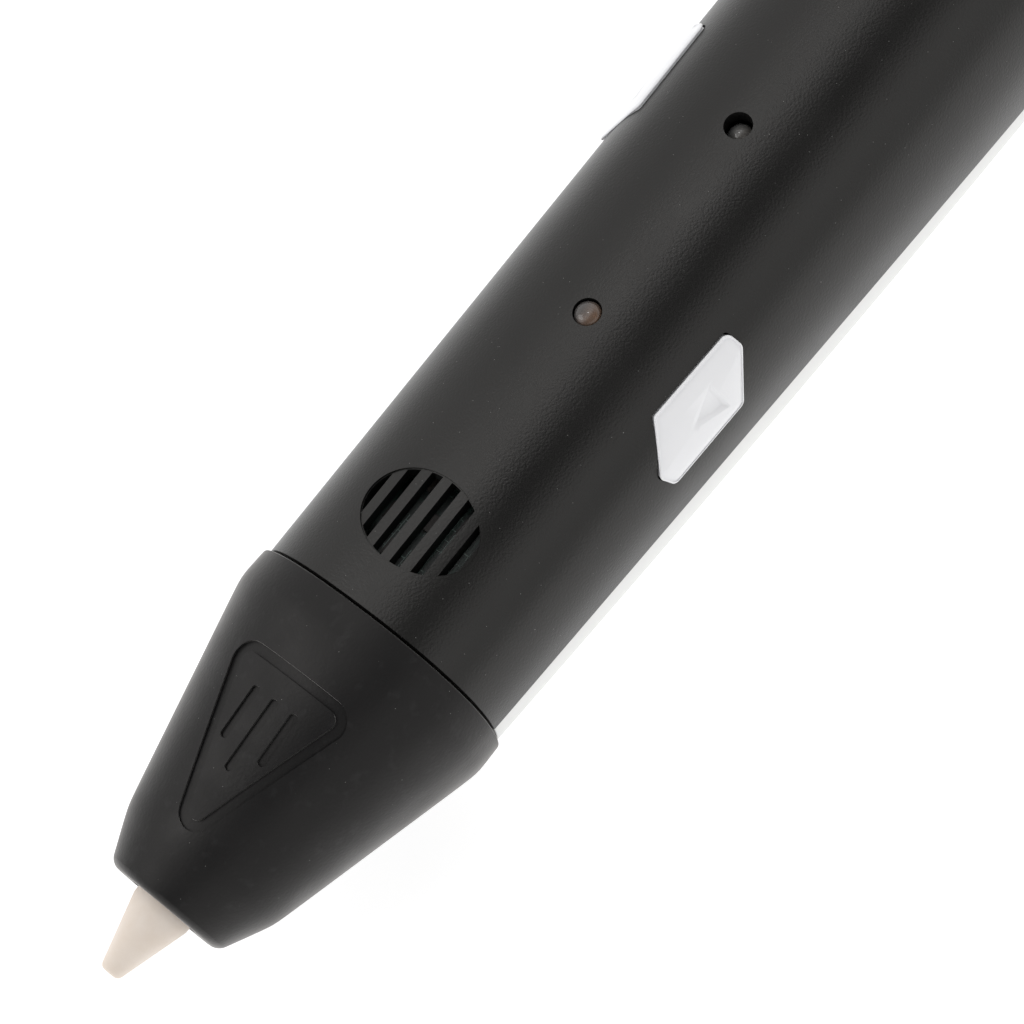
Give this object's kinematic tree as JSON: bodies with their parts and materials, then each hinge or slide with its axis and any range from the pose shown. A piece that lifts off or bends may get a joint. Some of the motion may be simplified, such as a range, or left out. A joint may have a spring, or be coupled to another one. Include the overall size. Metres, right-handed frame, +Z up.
{
  "type": "three d pen",
  "caption": "Corded handheld pen that melts filament: tapered nose cone with ceramic nozzle, two-tone split casing with vent, lamps, flank buttons, speed slider and tail inlets.",
  "frame": {"origin": "bottom centre of the whole pen, at the level of the belly flat it rests on", "axes": "+X along the filament path from the nozzle to the tail, +Z up through the vent, lamps and speed slider, load button on the -Y side, unload button on the +Y side"},
  "size_m": [0.184, 0.0338, 0.0402],
  "materials": {
    "shell_black": "satin, finely textured",
    "shell_white": "satin",
    "cone_rubber": "matte, soft touch",
    "nozzle_ceramic": "matte unglazed",
    "brass": "machined",
    "heater_ceramic": "matte",
    "fibre_sleeve": "woven glass sleeve",
    "bead": "epoxy-dipped bead",
    "steel": "turned",
    "screw_steel": "zinc plated",
    "frame_plastic": "moulded, dark grey",
    "ptfe": "translucent white",
    "gear_plastic": "moulded acetal",
    "bronze": "sintered bronze",
    "motor_metal": "nickel plated",
    "cap_plastic": "white nylon",
    "board_green": "solder mask",
    "chip_black": "epoxy",
    "part_ceramic": "chip capacitor body",
    "capacitor_sleeve": "shrink sleeve",
    "lamp_power": "smoked lens",
    "lamp_ready": "smoked lens",
    "button_white": "satin",
    "switch_black": "moulded",
    "switch_plunger": "moulded",
    "fan_black": "moulded",
    "contact": "tinned",
    "lead_red": "insulated wire",
    "lead_white": "glass-fibre covered wire"
  },
  "bodies": {
    "casing": {"upper_shell": "shell_black", "lower_shell": "shell_white", "nose_cone": "cone_rubber", "ceramic_nozzle": "nozzle_ceramic", "brass_melt_tube": "brass", "heater_core": "heater_ceramic", "insulation_sleeve": "fibre_sleeve", "thermistor": "bead", "heat_break_tube": "ptfe", "hot_end_holder": "frame_plastic", "feed_block": "frame_plastic", "feed_block_screws": "screw_steel", "feed_shaft_bushes": "bronze", "idler_pivot_pin": "steel", "idler_spring": "steel", "gearbox_case": "brass", "motor_screws": "screw_steel", "motor_can": "motor_metal", "motor_end_cap": "cap_plastic", "front_guide_tube": "ptfe", "rear_guide_tube": "ptfe", "inlet_bush": "gear_plastic", "main_board": "board_green", "board_screws": "screw_steel", "controller_chip": "chip_black", "board_components": "part_ceramic", "capacitor": "capacitor_sleeve", "heater_transistor": "chip_black", "power_led": "lamp_power", "ready_led": "lamp_ready", "load_switch_case": "switch_black", "load_switch_board": "board_green", "unload_switch_case": "switch_black", "unload_switch_board": "board_green", "switch_board_screws": "screw_steel", "slider_case": "motor_metal", "fan_housing": "fan_black", "fan_screws": "screw_steel", "dc_jack_housing": "switch_black", "dc_jack_pin": "contact", "dc_jack_spring": "contact", "case_screws": "screw_steel", "heater_leads": "lead_white", "motor_leads": "lead_red"},
    "load_key": {"load_button": "button_white", "load_switch_plunger": "switch_plunger"},
    "unload_key": {"unload_button": "button_white", "unload_switch_plunger": "switch_plunger"},
    "speed_key": {"speed_knob": "button_white", "slider_lever": "switch_black"},
    "feed_train": {"feed_shaft": "steel", "feed_wheel": "brass", "crown_gear": "gear_plastic"},
    "motor_output": {"motor_shaft": "steel", "motor_pinion": "brass"},
    "idler": {"idler_arm": "frame_plastic", "idler_axle": "steel"},
    "roller": {"idler_roller": "steel"},
    "rotor": {"fan_rotor": "fan_black"}
  },
  "joints": [
    {"name": "load_press", "type": "slide", "parent": "casing", "child": "load_key", "axis": [0, 0.8829, -0.4695], "range_m": [0, 0.0005], "stiffness_N_per_m": 2000},
    {"name": "unload_press", "type": "slide", "parent": "casing", "child": "unload_key", "axis": [0, -0.8829, -0.4695], "range_m": [0, 0.0005], "stiffness_N_per_m": 2000},
    {"name": "speed_slide", "type": "slide", "parent": "casing", "child": "speed_key", "axis": [1, 0, 0], "range_m": [-0.0035, 0.0035]},
    {"name": "feed_spin", "type": "hinge", "parent": "casing", "child": "feed_train", "pos_m": [0.036, 0, 0.0161], "axis": [0, 1, 0], "continuous": true},
    {"name": "motor_spin", "type": "hinge", "parent": "casing", "child": "motor_output", "pos_m": [0.042, 0.00735, 0.0161], "axis": [1, 0, 0], "continuous": true},
    {"name": "idler_swing", "type": "hinge", "parent": "casing", "child": "idler", "pos_m": [0.027, 0, 0.0278], "axis": [0, -1, 0], "range_deg": [0, 7], "stiffness_Nm_per_rad": 0.1, "springref_deg": -8.59, "deforming": ["idler_spring"]},
    {"name": "roller_spin", "type": "hinge", "parent": "idler", "child": "roller", "pos_m": [0.036, 0, 0.0248], "axis": [0, 1, 0], "continuous": true},
    {"name": "fan_spin", "type": "hinge", "parent": "casing", "child": "rotor", "pos_m": [-0.0348, 0, 0.0132], "axis": [0, 0, 1], "continuous": true}
  ],
  "couplings": [
    {"joint": "motor_spin", "follows": "feed_spin", "ratio": 2.6667}
  ]
}
